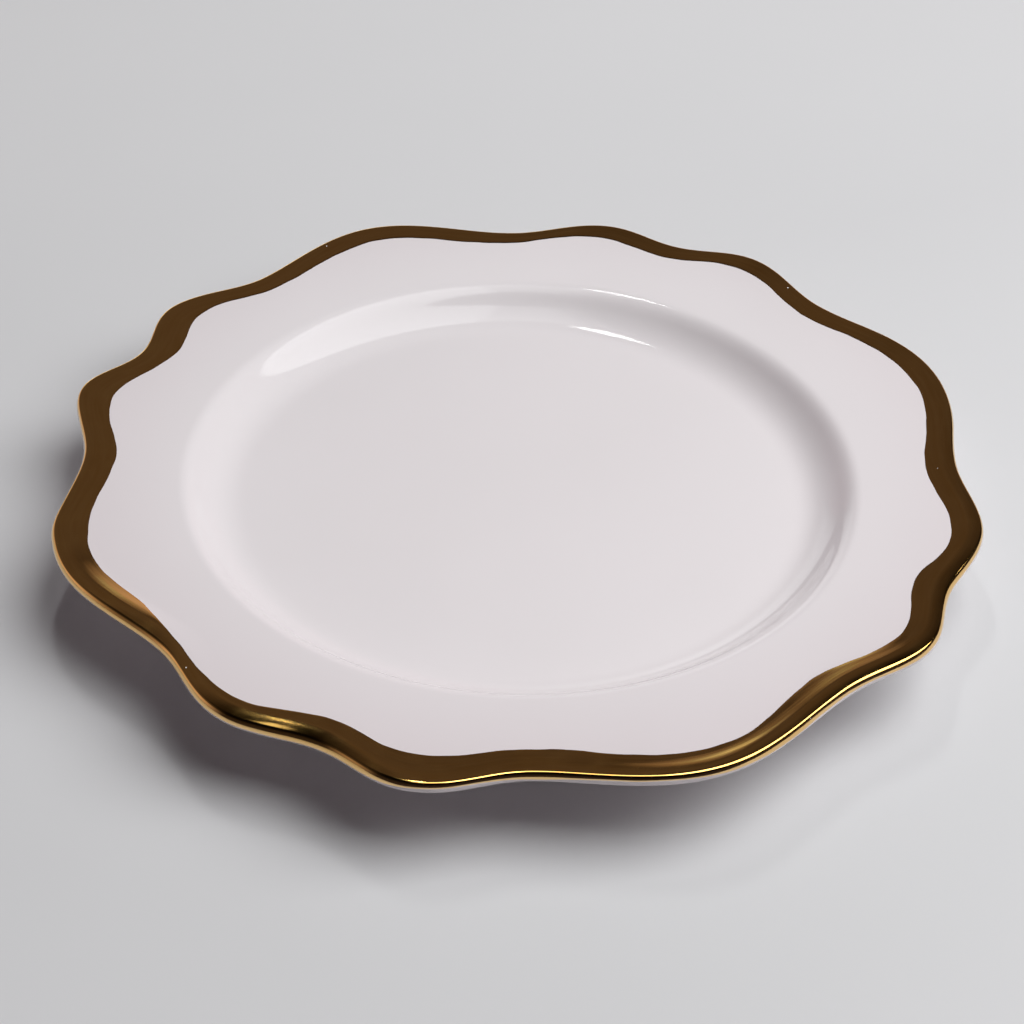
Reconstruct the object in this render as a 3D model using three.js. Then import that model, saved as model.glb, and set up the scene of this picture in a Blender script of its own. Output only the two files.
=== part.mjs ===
// Dessert plate: a porcelain body on a foot ring, its two coats of glaze, and a gold band round the wavy rim.
// Millimetres, +Z up. The origin is the middle of the foot ring's standing face, and a wide lobe points along +X.
import * as THREE from 'three';

// Plan, from the middle outwards
const WELL_RADIUS = 67;
const HOLLOW_RUN = 11.2; // from the flat well out to the steepest part of its wall
const CROWN_RUN = 5.5; // from there out to the shoulder, where the rim begins
const RIM_WIDTH = 30.3; // from the shoulder out to the crest of a wide lobe

// Lobes: each quarter of the rim has one wide lobe and two narrow ones
const QUARTERS = 4;
const DEEP_VALLEY_DEPTH = 6.8; // depths are taken inwards from the crest of a wide lobe
const NARROW_CREST_DEPTH = 1.4;
const SHALLOW_VALLEY_DEPTH = 5.8;
const DEEP_VALLEY_ANGLE = 20; // degrees from the middle of a wide lobe
const NARROW_CREST_ANGLE = 34;

// Heights and thicknesses
const FOOT_HEIGHT = 5.5;
const BASE_THICKNESS = 5.8;
const WELL_DEPTH = 11.2; // from the top of the edge at a wide lobe down to the well
const RIM_SLOPE = 0.1; // rise for each millimetre outwards
const SHOULDER_THICKNESS = 3.8;
const EDGE_THICKNESS = 2.9;
const EDGE_ROUND = 1.4; // how far the rounding of the edge reaches inwards
const HOLLOW_POWER = 1.5; // how the slope of the wall grows along its hollow
const BACK_EASE = 0.5; // share of its run that each of the two bends of the back takes

// Foot ring, which stands inside the well of a plate stacked below it
const NESTING_CLEARANCE = 1.5;
const FOOT_WIDTH = 4;
const FOOT_FLARE = 1.8; // how far each side spreads from the standing face up to its root
const BARE_TAPER = 0.4; // how much the bare clay narrows on each side, down to the standing face
const BARE_HEIGHT = 1; // unglazed clay left at the bottom of the foot ring

// Coats
const GLAZE_THICKNESS = 0.3;
const GOLD_THICKNESS = 0.1;
const GOLD_WIDTH = 8; // on the rim, in from the edge
const GOLD_WRAP = 70; // degrees of the rounded edge that the gold covers, from its top

// Fineness of the facets
const PLAN_FACET = 5; // degrees, at most, between meridians
const EDGE_FACET = 30; // degrees, at most, round the edge
const HOLLOW_STEPS = 5;
const CROWN_STEPS = 4;
const BACK_STEPS = 5;

// Places worked out from the sizes
const SHOULDER_RADIUS = WELL_RADIUS + HOLLOW_RUN + CROWN_RUN;
const CREST_RADIUS = SHOULDER_RADIUS + RIM_WIDTH;
const WELL_HEIGHT = FOOT_HEIGHT + BASE_THICKNESS;
const EDGE_HEIGHT = WELL_HEIGHT + WELL_DEPTH;
const EDGE_MIDDLE = new THREE.Vector2(CREST_RADIUS - EDGE_ROUND, EDGE_HEIGHT - EDGE_THICKNESS / 2);
const FOOT_RADIUS = WELL_RADIUS - NESTING_CLEARANCE;

const rimHeight = (radius) => EDGE_HEIGHT - RIM_SLOPE * (EDGE_MIDDLE.x - radius);

// A station is one point of the section at a wide lobe. Stations with sway follow the lobes, the others stay put.
const station = (radius, height, sway = 0) => ({ point: new THREE.Vector2(radius, height), sway });

// Points of an S-shaped stretch that leaves one end level with startSlope and meets the other with endSlope.
function bend(start, startSlope, end, endSlope, steps) {
  const reach = (end.x - start.x) * BACK_EASE;
  const curve = new THREE.CubicBezierCurve(
    start,
    new THREE.Vector2(start.x + reach, start.y + startSlope * reach),
    new THREE.Vector2(end.x - reach, end.y - endSlope * reach),
    end,
  );
  return curve.getPoints(steps).map((point) => station(point.x, point.y));
}

// Points of the rounded edge between two turns, in degrees from its top.
function edgeArc(from, to) {
  const steps = Math.ceil((to - from) / EDGE_FACET);
  return Array.from({ length: steps + 1 }, (_, step) => {
    const turn = THREE.MathUtils.degToRad(from + ((to - from) * step) / steps);
    const radius = EDGE_MIDDLE.x + EDGE_ROUND * Math.sin(turn);
    const height = EDGE_MIDDLE.y + (EDGE_THICKNESS / 2) * Math.cos(turn);
    return station(radius, height, 1);
  });
}

// Point on a side of the foot ring at a height; outward is 1 for the outer side and -1 for the inner one.
function footSide(height, outward) {
  const standing = outward > 0 ? FOOT_RADIUS : FOOT_RADIUS - FOOT_WIDTH;
  return station(standing + (outward * FOOT_FLARE * height) / FOOT_HEIGHT, height);
}

const stops = (steps) => Array.from({ length: steps + 1 }, (_, step) => step / steps);

// Wall of the well: its slope grows by a power along the hollow, then eases down to that of the rim along the crown.
function wall() {
  const power = HOLLOW_POWER + 1;
  const shoulderHeight = rimHeight(SHOULDER_RADIUS);
  const rise = shoulderHeight - WELL_HEIGHT;
  const steepest = (rise - (RIM_SLOPE * CROWN_RUN) / 2) / (HOLLOW_RUN / power + CROWN_RUN / 2);
  const hollow = stops(HOLLOW_STEPS).map((way) => {
    const climb = (steepest * HOLLOW_RUN * way ** power) / power;
    return station(WELL_RADIUS + HOLLOW_RUN * way, WELL_HEIGHT + climb);
  });
  const crown = stops(CROWN_STEPS).map((way) => {
    const left = 1 - way;
    const easing = left / 2 - Math.sin(Math.PI * left) / (2 * Math.PI);
    const fall = RIM_SLOPE * left + (steepest - RIM_SLOPE) * easing;
    return station(SHOULDER_RADIUS - CROWN_RUN * left, shoulderHeight - CROWN_RUN * fall);
  });
  return [...hollow, ...crown.slice(1)];
}

// Glazed face, edge and back, from the axis round to where the glaze stops on the foot ring
const shoulder = new THREE.Vector2(SHOULDER_RADIUS, rimHeight(SHOULDER_RADIUS));
const shoulderBack = new THREE.Vector2(shoulder.x + SHOULDER_THICKNESS / 2, shoulder.y - SHOULDER_THICKNESS);
const footRoot = footSide(FOOT_HEIGHT, 1).point;
const goldStart = CREST_RADIUS - GOLD_WIDTH;

const face = [station(0, WELL_HEIGHT), ...wall()];
const goldSeat = [
  station(goldStart, rimHeight(goldStart), 1),
  ...edgeArc(0, GOLD_WRAP),
];
const back = [
  ...edgeArc(GOLD_WRAP, 180).slice(1),
  ...bend(shoulderBack, RIM_SLOPE, footRoot, 0, BACK_STEPS),
  footSide(BARE_HEIGHT, 1),
];
const glazedOutside = [...face, ...goldSeat, ...back];

// Glazed patch inside the foot ring, out to in
const glazedBase = [
  footSide(BARE_HEIGHT, -1),
  footSide(FOOT_HEIGHT, -1),
  station(0, FOOT_HEIGHT),
];

// Moves a run of stations square to itself: outwards for a positive distance, into the clay for a negative one.
function offset(run, distance) {
  const normals = run.slice(1).map(({ point }, i) => {
    const along = point.clone().sub(run[i].point).normalize();
    return new THREE.Vector2(-along.y, along.x);
  });
  return run.map(({ point, sway }, i) => {
    const before = normals[Math.max(i - 1, 0)];
    const after = normals[Math.min(i, normals.length - 1)];
    const middle = before.clone().add(after).normalize();
    const moved = point.clone().addScaledVector(middle, distance / middle.dot(after));
    return station(moved.x, moved.y, sway);
  });
}

// The bare clay between the two glazes tapers down to the standing face.
const clayOutside = offset(glazedOutside, -GLAZE_THICKNESS);
const clayBase = offset(glazedBase, -GLAZE_THICKNESS);
const standingFace = [
  station(clayOutside.at(-1).point.x - BARE_TAPER, 0),
  station(clayBase[0].point.x + BARE_TAPER, 0),
];

// Outline of the rim, as depths inwards from the crest of a wide lobe, over half of a quarter
const OUTLINE = [
  { angle: 0, depth: 0 },
  { angle: DEEP_VALLEY_ANGLE, depth: DEEP_VALLEY_DEPTH },
  { angle: NARROW_CREST_ANGLE, depth: NARROW_CREST_DEPTH },
  { angle: 180 / QUARTERS, depth: SHALLOW_VALLEY_DEPTH },
];

// Meridians of half a quarter: the outline eases along half a cosine from each crest or valley to the next.
function halfQuarter() {
  const meridians = [];
  OUTLINE.slice(1).forEach((end, i) => {
    const start = OUTLINE[i];
    const steps = Math.ceil((end.angle - start.angle) / PLAN_FACET);
    for (let step = 0; step < steps; step += 1) {
      const way = step / steps;
      const eased = (1 - Math.cos(Math.PI * way)) / 2;
      meridians.push({
        angle: THREE.MathUtils.lerp(start.angle, end.angle, way),
        depth: THREE.MathUtils.lerp(start.depth, end.depth, eased),
      });
    }
  });
  return [...meridians, OUTLINE.at(-1)];
}

// Meridians of the whole plate: each half quarter is mirrored, and the quarters follow each other.
function allMeridians() {
  const half = halfQuarter();
  const quarterTurn = 360 / QUARTERS;
  const mirrored = half.slice(1, -1).reverse();
  const quarter = [...half, ...mirrored.map(({ angle, depth }) => ({ angle: quarterTurn - angle, depth }))];
  return Array.from({ length: QUARTERS }, (_, turn) =>
    quarter.map(({ angle, depth }) => ({ angle: angle + turn * quarterTurn, depth })),
  ).flat();
}

const MERIDIANS = allMeridians();

// Place of a station on a meridian: the swaying ones slide in along the slope of the rim.
function placed({ point, sway }, { angle, depth }) {
  const turn = THREE.MathUtils.degToRad(angle);
  const slide = -depth * sway;
  const radius = point.x + slide;
  return new THREE.Vector3(radius * Math.cos(turn), radius * Math.sin(turn), point.y + RIM_SLOPE * slide);
}

// Turns a section into a solid. The section runs with the clay on its right, and closes on itself or on the axis.
// Each patch is split along its shorter diagonal, so two coats that share a surface share its facets too.
function turned(section) {
  const places = MERIDIANS.flatMap((meridian) => section.map((stop) => placed(stop, meridian)));
  const corner = (m, s) => (m % MERIDIANS.length) * section.length + (s % section.length);
  const onAxis = (s) => section[s % section.length].point.x === 0;
  const index = [];
  MERIDIANS.forEach((_, m) => {
    section.forEach((__, s) => {
      const patch = [corner(m, s), corner(m, s + 1), corner(m + 1, s + 1), corner(m + 1, s)];
      const [a, b, c, d] = patch;
      if (onAxis(s) && onAxis(s + 1)) return;
      if (onAxis(s)) index.push(a, b, c);
      else if (onAxis(s + 1)) index.push(a, b, d);
      else if (places[a].distanceTo(places[c]) < places[b].distanceTo(places[d])) index.push(a, b, c, a, c, d);
      else index.push(a, b, d, b, c, d);
    });
  });
  const geometry = new THREE.BufferGeometry().setFromPoints(places);
  geometry.setIndex(index);
  geometry.computeVertexNormals();
  return geometry;
}

// A coat lies between two runs of the same stations.
const coat = (outer, inner) => turned([...outer, ...[...inner].reverse()]);

const plate = new THREE.Group();

function add(name, geometry, material) {
  const mesh = new THREE.Mesh(geometry, new THREE.MeshStandardMaterial(material));
  mesh.name = name;
  plate.add(mesh);
}

add('porcelain_body', turned([...clayOutside, ...standingFace, ...clayBase]), {
  color: 0xe9e4df,
  roughness: 0.75,
  metalness: 0,
});
add('glaze_coat', coat(glazedOutside, clayOutside), { color: 0xebe7e9, roughness: 0.08, metalness: 0 });
add('base_glaze', coat(glazedBase, clayBase), { color: 0xebe7e9, roughness: 0.1, metalness: 0 });
add('gold_rim_band', coat(offset(goldSeat, GOLD_THICKNESS), goldSeat), {
  color: 0xd9a441,
  roughness: 0.12,
  metalness: 1,
});

export default plate;
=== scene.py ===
"""Looks of the dessert plate: smooth glazed porcelain with a hand-painted gold rim, on a pale table."""

import math

import bpy
import numpy as np
from mathutils import Matrix, Vector


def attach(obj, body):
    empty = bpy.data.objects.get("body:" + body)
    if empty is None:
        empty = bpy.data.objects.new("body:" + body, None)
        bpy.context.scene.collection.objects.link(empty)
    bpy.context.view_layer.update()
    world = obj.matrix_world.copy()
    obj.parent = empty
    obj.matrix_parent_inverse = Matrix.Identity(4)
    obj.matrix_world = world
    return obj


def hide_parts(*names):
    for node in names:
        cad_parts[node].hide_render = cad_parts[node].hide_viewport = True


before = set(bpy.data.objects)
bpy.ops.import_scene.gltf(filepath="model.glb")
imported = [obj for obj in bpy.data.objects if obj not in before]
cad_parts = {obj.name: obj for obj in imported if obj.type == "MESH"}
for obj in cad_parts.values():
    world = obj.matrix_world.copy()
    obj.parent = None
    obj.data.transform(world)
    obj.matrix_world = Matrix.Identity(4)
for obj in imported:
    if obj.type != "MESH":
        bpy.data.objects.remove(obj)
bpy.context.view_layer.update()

MM = 0.001

# Plan and heights of the plate in millimetres, as its solids have them
WELL_RADIUS = 67
HOLLOW_RUN = 11.2  # from the flat well out to the steepest part of its wall
CROWN_RUN = 5.5  # from there out to the shoulder, where the rim begins
HOLLOW_POWER = 1.5  # how the slope grows along the hollow
CREST_RADIUS = 113.9  # like the edge, a little within the solids
WELL_HEIGHT = 11.3
EDGE_HEIGHT = 22.0  # a little under the solids, which leaves room for the unevenness of the rim
RIM_SLOPE = 0.1
SHOULDER_THICKNESS = 3.8
BACK_EASE = 0.5  # share of its run that each bend of the back takes
GLAZE_THICKNESS = 0.3
LOBED_WIDTH = 8  # outer part of the rim, which follows the lobes in full

# Arcs of the rounded edge: where each ends, in degrees from the top of the edge, and its radius
EDGE_ARCS = [(46, 0.6), (68, 2.3), (130, 1.5), (190, 0.6)]

# Foot ring
FOOT_HEIGHT = 5.5
FOOT_RADIUS = 65.5
FOOT_WIDTH = 4
FOOT_FLARE = 1.8
BARE_HEIGHT = 1
FOOT_ROUND = 0.5  # rounding of the bare clay where it meets the table
ROOT_ROUND = 1.3  # glaze pooled where the foot ring meets the plate

# Outline: angle in degrees from a wide lobe, and depth inwards from its crest, over half of a quarter
QUARTERS = 4
OUTLINE = [(0, 0), (20, 6.8), (34, 1.4), (45, 5.8)]

# Fineness of the meshes
MERIDIANS = 600
WELL_STEPS = 20
WALL_STEPS = 20
RIM_STEPS = 60
EDGE_STEPS = 30
BACK_STEPS = 16
UNDER_STEPS = 24
CORNER_STEPS = 6
FOOT_STEPS = 2

ANGLES = np.arange(MERIDIANS) * 360 / MERIDIANS
TURNS = np.radians(ANGLES)


def eased(way):
    """Goes from 0 to 1 along half a cosine."""
    return (1 - np.cos(np.pi * np.clip(way, 0, 1))) / 2


def outline_depth(angles):
    """How far the edge lies inwards from the crest of a wide lobe, at angles in degrees."""
    half = 180 / QUARTERS
    folded = np.abs((angles + half) % (2 * half) - half)
    depth = np.zeros_like(folded)
    for (start, start_depth), (end, end_depth) in zip(OUTLINE, OUTLINE[1:]):
        between = (folded >= start) & (folded <= end)
        way = (folded[between] - start) / (end - start)
        depth[between] = start_depth + (end_depth - start_depth) * eased(way)
    return depth


def strayed(strays, ripples=()):
    """Change on every meridian.

    Strays are angle, amount and spread in degrees. Ripples are height, count round the plate and phase.
    """
    change = np.zeros(MERIDIANS)
    for angle, amount, spread in strays:
        away = (ANGLES - angle + 180) % 360 - 180
        change += amount * np.exp(-((away / spread) ** 2) / 2)
    for height, count, phase in ripples:
        change += height * np.sin(count * TURNS + phase)
    return change


# The lobes were trimmed by hand, so the edge strays outwards or inwards: angle, amount and spread in degrees
OUTLINE_STRAYS = [
    (24, -0.3, 8), (54, -0.7, 6), (70, -1.9, 10), (83, -0.9, 7), (115, -1.6, 6), (127, 0.6, 3),
    (137, -1.0, 4), (146, 1.5, 3.5), (160, -0.7, 5), (174, 0.6, 2.5), (202, -1.6, 6), (216, -1.6, 6),
    (228, -0.4, 3.5), (235, 0.4, 3), (241, 1.4, 4), (254, 0.3, 5),
    (287, 0.5, 6), (308, -0.5, 3), (318, 0.7, 3), (331, -0.8, 5), (349, 0.6, 4),
]
TRIM = strayed(OUTLINE_STRAYS)
DEPTHS = outline_depth(ANGLES) - TRIM


# Stretches of the section, as rows of radius and height
def straight(start, end, steps):
    """Straight stretch between two points."""
    way = np.linspace(0, 1, steps + 1)[:, None]
    return np.array(start) * (1 - way) + np.array(end) * way


def bend(start, start_slope, end, end_slope, steps):
    """S-shaped stretch that leaves and arrives with the given slopes."""
    reach = (end[0] - start[0]) * BACK_EASE
    leaving = (start[0] + reach, start[1] + start_slope * reach)
    arriving = (end[0] - reach, end[1] - end_slope * reach)
    way = np.linspace(0, 1, steps + 1)[:, None]
    shares = [(1 - way) ** 3, 3 * way * (1 - way) ** 2, 3 * way**2 * (1 - way), way**3]
    return np.hstack(shares) @ np.array([start, leaving, arriving, end])


def corner(before, at, after):
    """Rounded corner between two points, drawn towards the sharp one."""
    way = np.linspace(0, 1, CORNER_STEPS + 1)[:, None]
    shares = [(1 - way) ** 2, 2 * way * (1 - way), way**2]
    return np.hstack(shares) @ np.array([before, at, after])


def joined(*stretches):
    """Stretches end to end, without the points that two neighbours share."""
    return np.vstack([stretches[0]] + [stretch[1:] for stretch in stretches[1:]])


def round_section(*stretches):
    """Stretches end to end, with no sway: they stay round and don't follow the lobes."""
    run = joined(*stretches)
    return np.column_stack([run, np.zeros(len(run))])


def edge_offset(turn):
    """Radius and height from the top of the rounded edge, which is level, at turns in radians from it."""
    radius = np.zeros_like(turn)
    height = np.zeros_like(turn)
    arc_start = -math.pi  # the first arc also runs back from the top
    for arc_end, arc_radius in EDGE_ARCS:
        along = np.clip(turn, arc_start, math.radians(arc_end))
        level = max(arc_start, 0)
        radius = radius + arc_radius * (np.sin(along) - math.sin(level))
        height = height + arc_radius * (np.cos(along) - math.cos(level))
        arc_start = math.radians(arc_end)
    return np.stack([radius, height], axis=-1)


EDGE_TOP = np.array([CREST_RADIUS - edge_offset(np.array(math.pi / 2))[0], EDGE_HEIGHT])


def edge_point(turn):
    """Radius and height on the rounded edge, at turns in radians from its top."""
    return EDGE_TOP + edge_offset(turn)


EDGE_BOTTOM = edge_point(np.array(math.pi))
EDGE_START = -math.atan(RIM_SLOPE)
RIM_END = edge_point(np.array(EDGE_START))
SHOULDER_RADIUS = WELL_RADIUS + HOLLOW_RUN + CROWN_RUN
SHOULDER = (SHOULDER_RADIUS, RIM_END[1] - RIM_SLOPE * (RIM_END[0] - SHOULDER_RADIUS))
SHOULDER_BACK = (SHOULDER[0] + SHOULDER_THICKNESS / 2, SHOULDER[1] - SHOULDER_THICKNESS)
BACK_SLOPE = (EDGE_BOTTOM[1] - SHOULDER_BACK[1]) / (EDGE_BOTTOM[0] - SHOULDER_BACK[0])
EDGE_END = math.pi - math.atan(BACK_SLOPE)


def wall():
    """Wall of the well. Its slope grows by a power along the hollow, and eases off along the crown."""
    rise = SHOULDER[1] - WELL_HEIGHT
    power = HOLLOW_POWER + 1
    steepest = (rise - RIM_SLOPE * CROWN_RUN / 2) / (HOLLOW_RUN / power + CROWN_RUN / 2)
    way = np.linspace(0, 1, WALL_STEPS + 1)
    hollow_height = WELL_HEIGHT + steepest * HOLLOW_RUN / power * way**power
    left = 1 - way
    fall = RIM_SLOPE * left + (steepest - RIM_SLOPE) * (left / 2 - np.sin(np.pi * left) / (2 * np.pi))
    hollow = np.column_stack([WELL_RADIUS + HOLLOW_RUN * way, hollow_height])
    crown = np.column_stack([SHOULDER_RADIUS - CROWN_RUN * left, SHOULDER[1] - CROWN_RUN * fall])
    return joined(hollow, crown)


def foot_side(height, outward):
    """Point on the outer side of the foot ring for outward 1, or on its inner side for -1."""
    standing = FOOT_RADIUS if outward > 0 else FOOT_RADIUS - FOOT_WIDTH
    return (standing + outward * FOOT_FLARE * height / FOOT_HEIGHT, height)


def glazed_outside():
    """Section of the glazed face, edge and back.

    Its third column is the sway: 1 where the section follows the lobes, and 0 where it is round.
    """
    root = foot_side(FOOT_HEIGHT, 1)
    root_start = (root[0] + ROOT_ROUND, FOOT_HEIGHT)
    root_end = foot_side(FOOT_HEIGHT - ROOT_ROUND, 1)
    face = joined(
        straight((0, WELL_HEIGHT), (WELL_RADIUS, WELL_HEIGHT), WELL_STEPS),
        wall(),
        straight(SHOULDER, RIM_END, RIM_STEPS),
    )
    edge = edge_point(np.linspace(EDGE_START, EDGE_END, EDGE_STEPS + 1))
    back = joined(
        straight(edge[-1], SHOULDER_BACK, BACK_STEPS),
        bend(SHOULDER_BACK, BACK_SLOPE, root_start, 0, UNDER_STEPS),
        corner(root_start, root, root_end),
        straight(root_end, foot_side(BARE_HEIGHT, 1), FOOT_STEPS),
    )
    face_sway = eased((face[:, 0] - SHOULDER_RADIUS) / (CREST_RADIUS - LOBED_WIDTH - SHOULDER_RADIUS))
    back_sway = eased((back[:, 0] - SHOULDER_BACK[0]) / (edge[-1, 0] - SHOULDER_BACK[0]))
    sway = np.concatenate([face_sway, np.ones(len(edge) - 2), back_sway])
    return np.column_stack([joined(face, edge, back), sway])


def glazed_base():
    """Section of the glazed patch inside the foot ring, from where its glaze stops in to the axis."""
    root = foot_side(FOOT_HEIGHT, -1)
    root_start = foot_side(FOOT_HEIGHT - ROOT_ROUND, -1)
    root_end = (root[0] - ROOT_ROUND, FOOT_HEIGHT)
    return round_section(
        straight(foot_side(BARE_HEIGHT, -1), root_start, FOOT_STEPS),
        corner(root_start, root, root_end),
        straight(root_end, (0, FOOT_HEIGHT), WELL_STEPS),
    )


def standing_face(outer, inner):
    """Bare bottom of the foot ring between two points of its sides, with rounded corners."""
    outer_foot = (outer[0] - FOOT_ROUND, 0)
    inner_foot = (inner[0] + FOOT_ROUND, 0)
    outer_end = (outer_foot[0] - FOOT_ROUND, 0)
    inner_end = (inner_foot[0] + FOOT_ROUND, 0)
    return round_section(
        corner(outer, outer_foot, outer_end),
        straight(outer_end, inner_end, FOOT_STEPS),
        corner(inner_end, inner_foot, inner),
    )


def offset(run, distance):
    """Moves a section square to itself: outwards by a positive distance, inwards by a negative one."""
    along = np.gradient(run[..., :2], axis=-2)
    along /= np.linalg.norm(along, axis=-1, keepdims=True)
    moved = run.copy()
    moved[..., 0] -= along[..., 1] * distance
    moved[..., 1] += along[..., 0] * distance
    return moved


# Pressed and fired clay is never quite true. Its waves are height, direction in degrees, which also sets
# their phase, and length
UNEVEN_WAVES = [(0.020, 25, 61), (0.016, 118, 47), (0.012, 75, 33), (0.008, 160, 23)]


def uneven(radius, turns):
    """Small rise of the whole wall of the plate at a place in plan."""
    rise = 0
    for height, direction, length in UNEVEN_WAVES:
        along = radius * np.cos(turns - math.radians(direction))
        rise = rise + height * np.sin(2 * np.pi * along / length + direction)
    return rise


# The rim droops at its edge in places: angle, height and spread in degrees
DROOPS = [(305, 0.85, 24), (222, 1.15, 9), (198, 0.30, 12)]
DROOP_RUN = 4  # distance in from the crest where a droop begins
DROOP_POWER = 1.5  # how it grows towards the edge

# It warps up a little in other places, listed in the same way
LIFTS = [(9, 0.35, 5), (33, 0.28, 3.5), (53, 0.25, 7)]
LIFT_RUN = 16
LIFT_POWER = 2

# Low beads run along it: angle, height and spread, then how far in from the crest they start, and their run
BEADS = [(272, 0.46, 8, 6.2, 4.4), (292, 0.68, 8, 9.4, 7.7), (191, 0.85, 7, 9.2, 5.2)]
BEAD_EASE = 0.4  # 0 is a straight rise


def roll(inwards):
    """Rise of the rim by its droops, lifts and beads, at distances in from the crest on every meridian."""
    rise = -strayed(DROOPS)[:, None] * np.clip(1 - inwards / DROOP_RUN, 0, 1) ** DROOP_POWER
    rise = rise + strayed(LIFTS)[:, None] * np.clip(1 - inwards / LIFT_RUN, 0, 1) ** LIFT_POWER
    for angle, height, spread, start, run in BEADS:
        way = np.clip((start - inwards) / run, 0, 1)
        risen = way - BEAD_EASE * np.sin(2 * np.pi * way) / (2 * np.pi)
        rise = rise + strayed([(angle, height, spread)])[:, None] * risen
    return rise


def place(run):
    """Points of a section, or of one section for each meridian, by meridian, station and coordinate."""
    run = np.broadcast_to(run, (MERIDIANS,) + run.shape[-2:])
    turns = TURNS[:, None]
    slide = -DEPTHS[:, None] * run[..., 2]
    radius = run[..., 0] + slide
    height = run[..., 1] + RIM_SLOPE * slide + roll(CREST_RADIUS - run[..., 0])
    lift = np.clip((height - FOOT_HEIGHT) / (WELL_HEIGHT - FOOT_HEIGHT), 0, 1)
    height = height + lift * uneven(radius, turns)
    return np.stack([radius * np.cos(turns), radius * np.sin(turns), height], axis=-1)


def closed_mesh(name, grid, on_axis):
    """Object from a grid of meridians and stations.

    The section starts and ends on the axis, or else it closes on itself.
    """
    index = np.arange(grid.shape[0] * grid.shape[1]).reshape(grid.shape[:2])
    if on_axis:
        index[:, 0] = index[0, 0]
        index[:, -1] = index[0, -1]
    else:
        index = np.hstack([index, index[:, :1]])
    used, index = np.unique(index, return_inverse=True)
    index = index.reshape(grid.shape[0], -1)
    after = np.roll(index, -1, axis=0)
    patches = np.stack([index[:, :-1], index[:, 1:], after[:, 1:], after[:, :-1]], axis=-1)
    faces = [list(dict.fromkeys(patch)) for patch in patches.reshape(-1, 4).tolist()]
    mesh = bpy.data.meshes.new(name)
    mesh.from_pydata((grid.reshape(-1, 3)[used] * MM).tolist(), [], faces)
    mesh.shade_smooth()
    piece = bpy.data.objects.new(name, mesh)
    bpy.context.scene.collection.objects.link(piece)
    return piece


# Gold band: its usual width, and where the brush strayed, as angle, change and spread in degrees
BAND_WIDTH = 8.4
BAND_DRIFT = 0.5  # the band is wider on one side of the plate than on the other
BAND_DRIFT_ANGLE = 110
WIDTH_STRAYS = [
    (10, -0.7, 6), (28, -1.0, 12), (40, -1.1, 5), (55, 0.8, 4), (62, -1.0, 14), (65, -0.7, 4), (80, 1.0, 6),
    (102, -1.2, 14), (130, 1.9, 4), (147, -0.5, 4), (160, 0.6, 5), (190, 0.7, 3), (203, -2.8, 6),
    (229, 0.5, 4), (235, 0.7, 7), (251, -0.3, 1.2), (259, 0.5, 7), (275, -0.5, 4), (288, 0.5, 4),
    (297, -0.5, 3), (310, 1.6, 4), (320, -1.1, 3), (330, 1.5, 5), (338, 0.9, 4), (348, -0.6, 6),
    (352, -0.4, 6),
]
WIDTH_RIPPLES = [(0.10, 23, 0.4), (0.07, 41, 1.9), (0.05, 67, 3.1), (0.03, 113, 5.2)]  # height, count, phase

# How many degrees of the rounded edge the gold covers, from its top, with strays and ripples like the width's
BAND_WRAP = 68
WRAP_STRAYS = [
    (30, 10, 15), (194, 45, 13), (226, 42, 8), (250, 32, 4), (278, 30, 9), (300, 15, 6), (314, 28, 4),
]
WRAP_RIPPLES = [(3.0, 17, 0.9), (2.0, 37, 2.6), (1.2, 71, 4.4)]

FILM = 0.03  # thickness of the gold
FILM_SINK = 0.04  # how far its inner side lies in the glaze
BAND_STEPS = 26
WRAP_STEPS = 26
FEATHER_STEPS = 5  # stations over which the film thins out to nothing
THIN_STEPS = 14  # stations under the edge over which its colour grows paler


def gold_seat():
    """Section under the gold on every meridian, from the painted edge on the rim over the rounded edge."""
    width = BAND_WIDTH + BAND_DRIFT * np.cos(TURNS - math.radians(BAND_DRIFT_ANGLE))
    width = width + strayed(WIDTH_STRAYS, WIDTH_RIPPLES) + TRIM
    wrap = np.radians(BAND_WRAP + strayed(WRAP_STRAYS, WRAP_RIPPLES))
    way = np.linspace(0, 1, BAND_STEPS + 1)[:-1]
    start = CREST_RADIUS - width[:, None]
    radius = start + (RIM_END[0] - start) * way
    height = RIM_END[1] - RIM_SLOPE * (RIM_END[0] - radius)
    band = np.stack([radius, height], axis=-1)
    turn = EDGE_START + (wrap[:, None] - EDGE_START) * np.linspace(0, 1, WRAP_STEPS + 1)
    seat = np.concatenate([band, edge_point(turn)], axis=1)
    return np.concatenate([seat, np.ones(seat.shape[:2] + (1,))], axis=-1)


def painted_film():
    """Closed section of the gold on every meridian, and how thin its colour is at each station."""
    seat = gold_seat()
    from_start = np.arange(seat.shape[1])
    from_end = from_start[::-1]
    rise = -FILM_SINK / 2 + (FILM + FILM_SINK / 2) * eased(np.minimum(from_start, from_end) / FEATHER_STEPS)
    thinness = np.clip(1 - from_end / THIN_STEPS, 0, 1)
    film = np.concatenate([offset(seat, rise), offset(seat, -FILM_SINK)[:, ::-1]], axis=1)
    return film, np.concatenate([thinness, thinness[::-1]])


# The viewer sees the plate turned by this angle
PHOTO_AZIMUTH = -21.76
VIEWER = Matrix.Rotation(math.radians(PHOTO_AZIMUTH), 3, "Z")

# Most values of a noise lie between these two
NOISE_LOW = 0.3
NOISE_HIGH = 0.7


# Materials
def new_material(name):
    """Material with one Principled shader. Returns it, its node tree and the shader."""
    material = bpy.data.materials.new(name)
    material.use_nodes = True
    return material, material.node_tree, material.node_tree.nodes["Principled BSDF"]


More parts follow.
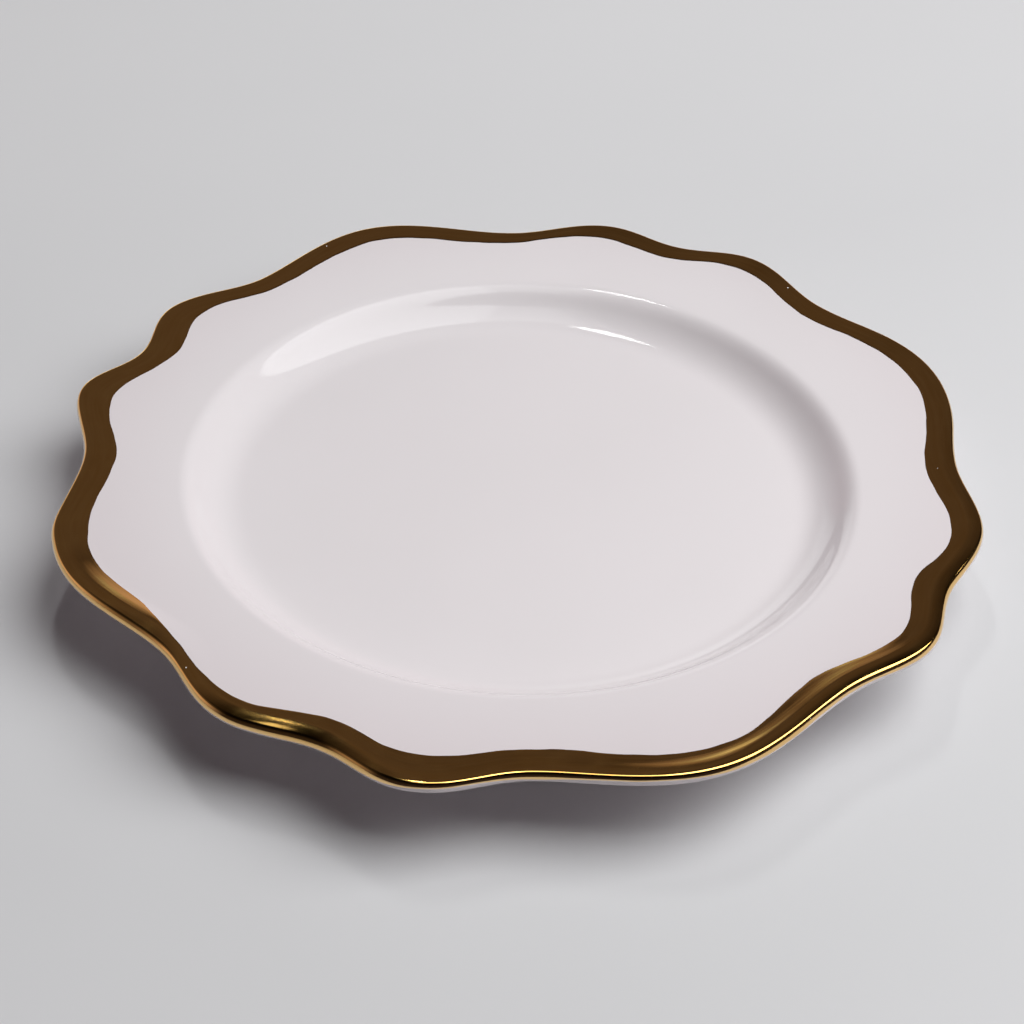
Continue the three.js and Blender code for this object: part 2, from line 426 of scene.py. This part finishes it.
def add_node(tree, kind, inputs=None, **settings):
    """Node with its settings. Inputs are values, or sockets to link from."""
    node = tree.nodes.new(kind)
    for setting, value in settings.items():
        setattr(node, setting, value)
    for key, value in (inputs or {}).items():
        if isinstance(value, bpy.types.NodeSocket):
            tree.links.new(value, node.inputs[key])
        else:
            node.inputs[key].default_value = value
    return node


def number(tree, operation, *values):
    """Number worked out from numbers."""
    return add_node(tree, "ShaderNodeMath", dict(enumerate(values)), operation=operation).outputs["Value"]


def vector_node(tree, operation, *values):
    """Node that works on vectors."""
    return add_node(tree, "ShaderNodeVectorMath", dict(enumerate(values)), operation=operation)


def mixed(tree, factor, first, second, blend="MIX"):
    """Colour mixed from two."""
    inputs = {"Factor": factor, "A": first, "B": second}
    return add_node(tree, "ShaderNodeMix", inputs, data_type="RGBA", blend_type=blend).outputs["Result"]


def noise(tree, vector, scale, detail=3.0, roughness=0.5):
    """Value of a noise whose features are about 1 / scale metres across."""
    inputs = {"Vector": vector, "Scale": scale, "Detail": detail, "Roughness": roughness}
    return add_node(tree, "ShaderNodeTexNoise", inputs).outputs["Fac"]


def ramp(tree, fac, stops):
    """Colour from a value, by stops of place and colour."""
    node = add_node(tree, "ShaderNodeValToRGB", {"Fac": fac})
    elements = node.color_ramp.elements
    while len(elements) < len(stops):
        elements.new(position=0.5)
    for element, (position, colour) in zip(elements, stops):
        element.position = position
        element.color = (*colour, 1)
    return node.outputs["Color"]


def tones(tree, value, pair):
    """Colour between two tones, by a noise."""
    return ramp(tree, value, [(NOISE_LOW, pair[0]), (NOISE_HIGH, pair[1])])


def spread_out(tree, value, span):
    """Number along a span, by a noise."""
    inputs = {"Value": value, "From Min": NOISE_LOW, "From Max": NOISE_HIGH}
    inputs.update({"To Min": span[0], "To Max": span[1]})
    return add_node(tree, "ShaderNodeMapRange", inputs).outputs["Result"]


def bump(tree, height, depth, strength, under=None):
    """Normal of a surface made uneven by a height, as deep as depth in millimetres, on the one under it."""
    inputs = {"Height": height, "Distance": depth * MM, "Strength": strength}
    if under:
        inputs["Normal"] = under
    return add_node(tree, "ShaderNodeBump", inputs).outputs["Normal"]


# Glaze: two tones of faintly rosy white, and its roughness
GLAZE_TONES = [(0.806, 0.757, 0.770), (0.826, 0.775, 0.790)]
GLAZE_ROUGHNESS = (0.05, 0.09)
GLAZE_IOR = 1.33

# Tint of the glaze by radius: painted shade that darkens the rim towards its edge
RIM_PAINTED_SHADE = [(78, (1, 1, 1)), (88, (0.985, 0.980, 0.982)), (114, (0.915, 0.885, 0.892))]
RIM_SHADE_SHIFT = (3, 10, 0)  # it lies off the middle, as the viewer sees it, so the painted shade is deeper at the front


def glaze_material():
    """Clear glaze over faintly rosy white porcelain."""
    material, tree, shader = new_material("white_glaze")
    place_in_object = add_node(tree, "ShaderNodeTexCoord").outputs["Object"]
    white = tones(tree, noise(tree, place_in_object, scale=16, detail=4), GLAZE_TONES)
    shift = VIEWER @ Vector(RIM_SHADE_SHIFT) * MM
    shifted = vector_node(tree, "SUBTRACT", place_in_object, shift).outputs["Vector"]
    in_plan = vector_node(tree, "MULTIPLY", shifted, (1, 1, 0)).outputs["Vector"]
    radius = vector_node(tree, "LENGTH", in_plan).outputs["Value"]
    # Painted shade: the rim is darkened towards its edge, and more at the front
    rim_shade = ramp(tree, radius, [(reach * MM, colour) for reach, colour in RIM_PAINTED_SHADE])
    tree.links.new(mixed(tree, 1.0, white, rim_shade, "MULTIPLY"), shader.inputs["Base Color"])
    pull = noise(tree, place_in_object, scale=90, detail=2)
    tree.links.new(spread_out(tree, pull, GLAZE_ROUGHNESS), shader.inputs["Roughness"])
    ripples = noise(tree, place_in_object, scale=120, detail=1)
    grain = noise(tree, place_in_object, scale=900, detail=2)
    ripple = bump(tree, ripples, depth=0.1, strength=0.03)
    peel = bump(tree, grain, depth=0.02, strength=0.05, under=ripple)
    tree.links.new(peel, shader.inputs["Normal"])
    shader.inputs["IOR"].default_value = GLAZE_IOR
    return material


CLAY_TONES = [(0.70, 0.65, 0.58), (0.80, 0.76, 0.70)]
CLAY_ROUGHNESS = (0.65, 0.9)


def clay_material():
    """Bare fired clay, matt and faintly sandy."""
    material, tree, shader = new_material("bare_porcelain")
    place_in_object = add_node(tree, "ShaderNodeTexCoord").outputs["Object"]
    cloud = noise(tree, place_in_object, scale=70, detail=5)
    tree.links.new(tones(tree, cloud, CLAY_TONES), shader.inputs["Base Color"])
    grain = noise(tree, place_in_object, scale=2500, detail=3, roughness=0.7)
    tree.links.new(spread_out(tree, grain, CLAY_ROUGHNESS), shader.inputs["Roughness"])
    tree.links.new(bump(tree, grain, depth=0.1, strength=0.4), shader.inputs["Normal"])
    return material


# Gold: two tones, which follow the marks of the brush, and its roughness
GOLD_TONES = [(0.78, 0.45, 0.110), (0.86, 0.53, 0.155)]
GOLD_ROUGHNESS = (0.06, 0.13)
BRUSH = "brush"  # place along and across the painted band
BRUSH_STRETCH = 14  # how many times longer than wide the marks of the brush are
THIN = "thin"  # how thin the gold is, from 0 to 1
THIN_GOLD = (0.90, 0.66, 0.38, 1)

# Pinholes, where the glaze shows through: their colour, how many fit in a metre, and their size as a share
PINHOLE = (0.80, 0.74, 0.72, 1)
PINHOLE_SCALE = 160
PINHOLE_REACH = 0.035


def gold_material():
    """Bright gold lustre, put on with a brush and fired."""
    material, tree, shader = new_material("bright_gold")
    along_brush = add_node(tree, "ShaderNodeAttribute", attribute_name=BRUSH).outputs["Vector"]
    place_in_object = add_node(tree, "ShaderNodeTexCoord").outputs["Object"]
    streak = noise(tree, along_brush, scale=70, detail=4, roughness=0.6)
    thin = add_node(tree, "ShaderNodeAttribute", attribute_name=THIN).outputs["Fac"]
    painted = mixed(tree, thin, tones(tree, streak, GOLD_TONES), THIN_GOLD)
    speck = add_node(tree, "ShaderNodeTexVoronoi", {"Vector": place_in_object, "Scale": PINHOLE_SCALE})
    pinhole = number(tree, "LESS_THAN", speck.outputs["Distance"], PINHOLE_REACH)
    tree.links.new(mixed(tree, pinhole, painted, PINHOLE), shader.inputs["Base Color"])
    tree.links.new(number(tree, "SUBTRACT", 1.0, pinhole), shader.inputs["Metallic"])
    haze = noise(tree, place_in_object, scale=180, detail=4)
    tree.links.new(spread_out(tree, haze, GOLD_ROUGHNESS), shader.inputs["Roughness"])
    strokes = noise(tree, along_brush, scale=50, detail=2)
    grain = noise(tree, place_in_object, scale=1600, detail=3, roughness=0.6)
    waves = bump(tree, strokes, depth=0.2, strength=0.12)
    pits = bump(tree, grain, depth=0.03, strength=0.10, under=waves)
    tree.links.new(pits, shader.inputs["Normal"])
    return material


# Table top: a faint cloud of two tones, over painted light and shade by the distance from the middle: darker
# near the plate and in front, paler far towards the back left
TABLE_TONES = [(0.985, 0.985, 0.985), (1.0, 1.0, 1.0)]
TABLE_PAINTED_SHADES = [(90, (0.70, 0.693, 0.705)), (410, (0.86, 0.852, 0.862))]
PAINTED_LIGHT_WAY = (-0.45, 0.89, 0)  # as the viewer sees it
TABLE_ROUGHNESS = 0.7
TABLE_SPECULAR = 0.2


def floor_material():
    """Pale matt table top."""
    material, tree, shader = new_material("table_top")
    place_in_object = add_node(tree, "ShaderNodeTexCoord").outputs["Object"]
    pale = tones(tree, noise(tree, place_in_object, scale=9, detail=5), TABLE_TONES)
    # Painted light and shade across the table: darker near the plate and in front, paler far towards the back
    # left
    painted_light_way = VIEWER @ Vector(PAINTED_LIGHT_WAY).normalized()
    towards = vector_node(tree, "DOT_PRODUCT", place_in_object, painted_light_way).outputs["Value"]
    painted_shade = ramp(tree, towards, [(distance * MM, colour) for distance, colour in TABLE_PAINTED_SHADES])
    tree.links.new(mixed(tree, 1.0, pale, painted_shade, "MULTIPLY"), shader.inputs["Base Color"])
    shader.inputs["Roughness"].default_value = TABLE_ROUGHNESS
    shader.inputs["Specular IOR Level"].default_value = TABLE_SPECULAR
    return material


# Pieces
OUTSIDE = glazed_outside()
BASE = glazed_base()
CLAY_OUTSIDE = offset(OUTSIDE, -GLAZE_THICKNESS)
CLAY_BASE = offset(BASE, -GLAZE_THICKNESS)


def settle(piece, node, material):
    """Gives a piece its material and its place in the frame."""
    piece.data.materials.append(material)
    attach(piece, "root")
    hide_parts(node)


def make_glaze():
    """Coat over the face, round the edge and down the back, and the patch inside the foot ring."""
    glaze = glaze_material()
    coat = closed_mesh("glaze", place(np.vstack([OUTSIDE, CLAY_OUTSIDE[::-1]])), on_axis=True)
    settle(coat, "glaze_coat", glaze)
    patch = closed_mesh("foot_glaze", place(np.vstack([CLAY_BASE[::-1], BASE])), on_axis=True)
    settle(patch, "base_glaze", glaze)


def make_body():
    """Fired clay under the glaze, with the foot ring's bare standing face."""
    standing = standing_face(CLAY_OUTSIDE[-1, :2], CLAY_BASE[0, :2])
    section = np.vstack([CLAY_OUTSIDE, standing[1:-1], CLAY_BASE])
    body = closed_mesh("porcelain", place(section), on_axis=True)
    settle(body, "porcelain_body", clay_material())


def make_band():
    """Gold round the rim and over its edge, with its brush marks and thinness kept at each point."""
    film, thinness = painted_film()
    band = closed_mesh("gold_band", place(film), on_axis=False)
    stations = film.shape[1]
    around = CREST_RADIUS * np.column_stack([np.cos(TURNS), np.sin(TURNS)])
    across = film[..., 0] - film[..., 1]
    brush = np.dstack([np.repeat(around[:, None], stations, axis=1), BRUSH_STRETCH * across])
    thin = np.tile(thinness, MERIDIANS)
    attributes = band.data.attributes
    attributes.new(BRUSH, "FLOAT_VECTOR", "POINT").data.foreach_set("vector", (brush * MM).ravel())
    attributes.new(THIN, "FLOAT", "POINT").data.foreach_set("value", thin)
    settle(band, "gold_rim_band", gold_material())


# Stage. Directions and places are as the viewer sees them: right, away and up, in millimetres
FLOOR_SIZE = 8000

CAMERA_TARGET = (-1.8, -21.1, 21.1)
CAMERA_DISTANCE = 518.8
CAMERA_ELEVATION = 38.67
CAMERA_ROLL = 1.40
CAMERA_LENS = 77.2
CAMERA_SENSOR = 36
CAMERA_CLIP = 10  # nothing nearer than this is seen

# Soft boxes that face the plate: name, middle, way of the length, length and width, and radiance
LAMP_TINT = (0.985, 1.0, 1.0)
LAMPS = [
    ("key", (605, -60, 955), (0.84, 0.04, -0.54), (1130, 860), 4.8),
    ("strip", (-98, 400, 920), (1, 0, 0), (52, 170), 31),
    ("key_end", (-24, -88, 1330), (1, 0, 0), (310, 860), 2.5),
    ("key_tail", (-240, -89, 1330), (1, 0, 0), (122, 860), 1.2),
]
GLOSS_LAMPS = ("key_end", "key_tail")  # the key fades out over its far end, which shows in gloss alone

# Room: radiance by height, from the horizon at 0 to straight above at 1
ROOM_TINT = (1.30, 1.0, 1.06)
ROOM = [
    (0.0, 0.55), (0.20, 0.50), (0.36, 0.26), (0.50, 0.045),
    (0.58, 0.065), (0.68, 0.07), (0.80, 0.02), (0.90, 0.006),
]
ROOM_WAY = (-0.6, 0.8, 0)  # the room is lightest that way, and dark the other way
ROOM_FADE = (0.1, 0.7)  # from dark to light
DARK_SHARE = 0.05

# Pale screen low behind the plate: its radiance, and where it fades upwards, to both sides and in front
SCREEN = 1.7
SCREEN_WAY = (-0.245, 0.97, 0)
SCREEN_RISE = (0.24, 0.48)
SCREEN_REACH = (0.14, 0.32)
SCREEN_AHEAD = (0, 0.2)


def viewer_place(right, away, up):
    """Place in the frame, in metres."""
    return VIEWER @ Vector((right, away, up)) * MM


def make_floor():
    """Plain table top."""
    half = FLOOR_SIZE / 2 * MM
    corners = [(-half, -half, 0), (half, -half, 0), (half, half, 0), (-half, half, 0)]
    mesh = bpy.data.meshes.new("table")
    mesh.from_pydata(corners, [], [(0, 1, 2, 3)])
    floor = bpy.data.objects.new("table", mesh)
    bpy.context.scene.collection.objects.link(floor)
    mesh.materials.append(floor_material())


def make_camera():
    """Camera in front of the plate and above it, a little off level."""
    elevation = math.radians(CAMERA_ELEVATION)
    tilt = math.radians(CAMERA_ROLL)
    back = Vector((0, -math.cos(elevation), math.sin(elevation)))
    level = Vector((1, 0, 0))
    upright = back.cross(level)
    right = math.cos(tilt) * level + math.sin(tilt) * upright
    up = math.cos(tilt) * upright - math.sin(tilt) * level
    data = bpy.data.cameras.new("camera")
    data.lens = CAMERA_LENS
    data.sensor_width = CAMERA_SENSOR
    data.clip_start = CAMERA_CLIP * MM
    camera = bpy.data.objects.new("camera", data)
    bpy.context.scene.collection.objects.link(camera)
    turn = VIEWER @ Matrix((right, up, back)).transposed()
    middle = Vector(CAMERA_TARGET) + back * CAMERA_DISTANCE
    camera.matrix_world = Matrix.Translation(viewer_place(*middle)) @ turn.to_4x4()
    bpy.context.scene.camera = camera


def make_lamp(name, middle, length_way, size, radiance):
    """Soft box of a length along length_way, and a width, facing the plate."""
    data = bpy.data.lights.new(name, "AREA")
    data.shape = "RECTANGLE"
    data.size = size[0] * MM
    data.size_y = size[1] * MM
    data.energy = radiance * math.pi * data.size * data.size_y
    data.color = LAMP_TINT
    lamp = bpy.data.objects.new(name, data)
    bpy.context.scene.collection.objects.link(lamp)
    facing = Vector(middle).normalized()
    along = Vector(length_way)
    along = (along - along.project(facing)).normalized()
    turn = VIEWER @ Matrix((along, facing.cross(along), facing)).transposed()
    lamp.matrix_world = Matrix.Translation(viewer_place(*middle)) @ turn.to_4x4()
    lamp.visible_camera = False
    lamp.visible_diffuse = name not in GLOSS_LAMPS


def make_room():
    """Dim room round the plate, with a pale screen low behind it."""
    world = bpy.data.worlds.new("room")
    world.use_nodes = True
    tree = world.node_tree
    direction = add_node(tree, "ShaderNodeTexCoord").outputs["Generated"]

    def part(way):
        """How much of the direction goes that way."""
        return vector_node(tree, "DOT_PRODUCT", direction, way).outputs["Value"]

    def fading(value, span, start, end):
        """Number taken smoothly from start to end along a span of the value."""
        inputs = {"Value": value, "From Min": span[0], "From Max": span[1], "To Min": start, "To Max": end}
        return add_node(tree, "ShaderNodeMapRange", inputs, interpolation_type="SMOOTHSTEP").outputs["Result"]

    up = Vector((0, 0, 1))
    height = part(up)
    share = fading(part(VIEWER @ Vector(ROOM_WAY)), ROOM_FADE, DARK_SHARE, 1)
    room = ramp(tree, height, [(rise, [radiance * tint for tint in ROOM_TINT]) for rise, radiance in ROOM])
    shaded = add_node(tree, "ShaderNodeVectorMath", {0: room, "Scale": share}, operation="SCALE")

    screen_way = VIEWER @ Vector(SCREEN_WAY)
    sideways = number(tree, "ABSOLUTE", part(screen_way.cross(up)))
    ahead = fading(part(screen_way), SCREEN_AHEAD, 0, SCREEN)
    level = number(tree, "MULTIPLY", fading(height, SCREEN_RISE, 1, 0), ahead)
    screen = number(tree, "MULTIPLY", level, fading(sideways, SCREEN_REACH, 1, 0))
    colour = vector_node(tree, "MAXIMUM", shaded.outputs["Vector"], screen).outputs["Vector"]
    tree.links.new(colour, tree.nodes["Background"].inputs["Color"])
    bpy.context.scene.world = world


make_glaze()
make_body()
make_band()
make_floor()
make_camera()
for lamp in LAMPS:
    make_lamp(*lamp)
make_room()
bpy.context.scene.view_settings.view_transform = "Standard"
